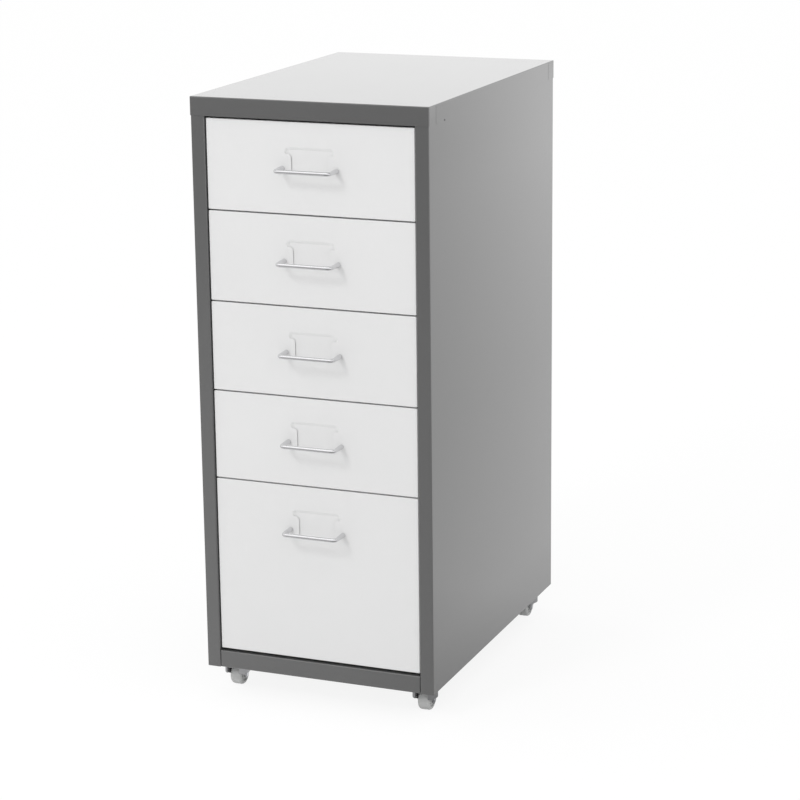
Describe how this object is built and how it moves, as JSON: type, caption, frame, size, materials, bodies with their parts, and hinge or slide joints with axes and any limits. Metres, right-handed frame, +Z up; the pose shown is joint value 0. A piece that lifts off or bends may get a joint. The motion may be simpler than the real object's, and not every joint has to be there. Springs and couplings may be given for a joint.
{
  "type": "drawer cabinet",
  "caption": "Narrow folded steel drawer cabinet on small swivel casters, with shallow drawers over a deep one, wire bow handles and pressed label pockets.",
  "frame": {"origin": "on the floor, under the middle of the bounding box, which includes the handles and the rear screw heads", "axes": "+Z up, the drawers open towards -Y, +X to the right of someone facing the cabinet's front"},
  "size_m": [0.28, 0.433, 0.69],
  "materials": {
    "grey_paint": "semi-gloss grey powder coat",
    "white_paint": "satin white powder coat",
    "chrome": "bright chrome plate",
    "zinc_steel": "bright zinc plate",
    "dark_zinc": "dark zinc plate",
    "wheel_nylon": "satin light grey nylon"
  },
  "bodies": {
    "cabinet": {"top_lid": "grey_paint", "left_side_panel": "grey_paint", "right_side_panel": "grey_paint", "back_panel": "grey_paint", "base_panel": "grey_paint", "front_rail": "grey_paint", "body_screws": "zinc_steel", "caster_rivets": "zinc_steel", "left_runner_1": "zinc_steel", "left_runner_2": "zinc_steel", "left_runner_3": "zinc_steel", "left_runner_4": "zinc_steel", "left_runner_5": "zinc_steel", "right_runner_1": "zinc_steel", "right_runner_2": "zinc_steel", "right_runner_3": "zinc_steel", "right_runner_4": "zinc_steel", "right_runner_5": "zinc_steel", "caster_front_left_plate": "zinc_steel", "caster_front_right_plate": "zinc_steel", "caster_back_left_plate": "zinc_steel", "caster_back_right_plate": "zinc_steel"},
    "drawer_1": {"drawer_1_front": "white_paint", "drawer_1_tray": "white_paint", "drawer_1_tray_ends": "white_paint", "drawer_1_handle": "chrome", "drawer_1_handle_screws": "zinc_steel"},
    "drawer_2": {"drawer_2_front": "white_paint", "drawer_2_tray": "white_paint", "drawer_2_tray_ends": "white_paint", "drawer_2_handle": "chrome", "drawer_2_handle_screws": "zinc_steel"},
    "drawer_3": {"drawer_3_front": "white_paint", "drawer_3_tray": "white_paint", "drawer_3_tray_ends": "white_paint", "drawer_3_handle": "chrome", "drawer_3_handle_screws": "zinc_steel"},
    "drawer_4": {"drawer_4_front": "white_paint", "drawer_4_tray": "white_paint", "drawer_4_tray_ends": "white_paint", "drawer_4_handle": "chrome", "drawer_4_handle_screws": "zinc_steel"},
    "drawer_5": {"drawer_5_front": "white_paint", "drawer_5_tray": "white_paint", "drawer_5_tray_ends": "white_paint", "drawer_5_handle": "chrome", "drawer_5_handle_screws": "zinc_steel"},
    "caster_front_left": {"caster_front_left_fork": "dark_zinc", "caster_front_left_axle": "zinc_steel"},
    "wheel_front_left": {"caster_front_left_wheel": "wheel_nylon"},
    "caster_front_right": {"caster_front_right_fork": "dark_zinc", "caster_front_right_axle": "zinc_steel"},
    "wheel_front_right": {"caster_front_right_wheel": "wheel_nylon"},
    "caster_back_left": {"caster_back_left_fork": "dark_zinc", "caster_back_left_axle": "zinc_steel"},
    "wheel_back_left": {"caster_back_left_wheel": "wheel_nylon"},
    "caster_back_right": {"caster_back_right_fork": "dark_zinc", "caster_back_right_axle": "zinc_steel"},
    "wheel_back_right": {"caster_back_right_wheel": "wheel_nylon"}
  },
  "joints": [
    {"name": "drawer_1_slide", "type": "slide", "parent": "cabinet", "child": "drawer_1", "axis": [0, -1, 0], "range_m": [0, 0.29]},
    {"name": "drawer_2_slide", "type": "slide", "parent": "cabinet", "child": "drawer_2", "axis": [0, -1, 0], "range_m": [0, 0.29]},
    {"name": "drawer_3_slide", "type": "slide", "parent": "cabinet", "child": "drawer_3", "axis": [0, -1, 0], "range_m": [0, 0.29]},
    {"name": "drawer_4_slide", "type": "slide", "parent": "cabinet", "child": "drawer_4", "axis": [0, -1, 0], "range_m": [0, 0.29]},
    {"name": "drawer_5_slide", "type": "slide", "parent": "cabinet", "child": "drawer_5", "axis": [0, -1, 0], "range_m": [0, 0.29]},
    {"name": "caster_front_left_swivel", "type": "hinge", "parent": "cabinet", "child": "caster_front_left", "pos_m": [-0.117, -0.16325, 0.03], "axis": [0, 0, 1], "continuous": true},
    {"name": "wheel_front_left_spin", "type": "hinge", "parent": "caster_front_left", "child": "wheel_front_left", "pos_m": [-0.117, -0.15825, 0.0125], "axis": [1, 0, 0], "continuous": true},
    {"name": "caster_front_right_swivel", "type": "hinge", "parent": "cabinet", "child": "caster_front_right", "pos_m": [0.117, -0.16325, 0.03], "axis": [0, 0, 1], "continuous": true},
    {"name": "wheel_front_right_spin", "type": "hinge", "parent": "caster_front_right", "child": "wheel_front_right", "pos_m": [0.117, -0.15825, 0.0125], "axis": [1, 0, 0], "continuous": true},
    {"name": "caster_back_left_swivel", "type": "hinge", "parent": "cabinet", "child": "caster_back_left", "pos_m": [-0.117, 0.18275, 0.03], "axis": [0, 0, 1], "continuous": true},
    {"name": "wheel_back_left_spin", "type": "hinge", "parent": "caster_back_left", "child": "wheel_back_left", "pos_m": [-0.117, 0.17775, 0.0125], "axis": [1, 0, 0], "continuous": true},
    {"name": "caster_back_right_swivel", "type": "hinge", "parent": "cabinet", "child": "caster_back_right", "pos_m": [0.117, 0.18275, 0.03], "axis": [0, 0, 1], "continuous": true},
    {"name": "wheel_back_right_spin", "type": "hinge", "parent": "caster_back_right", "child": "wheel_back_right", "pos_m": [0.117, 0.17775, 0.0125], "axis": [1, 0, 0], "continuous": true}
  ]
}
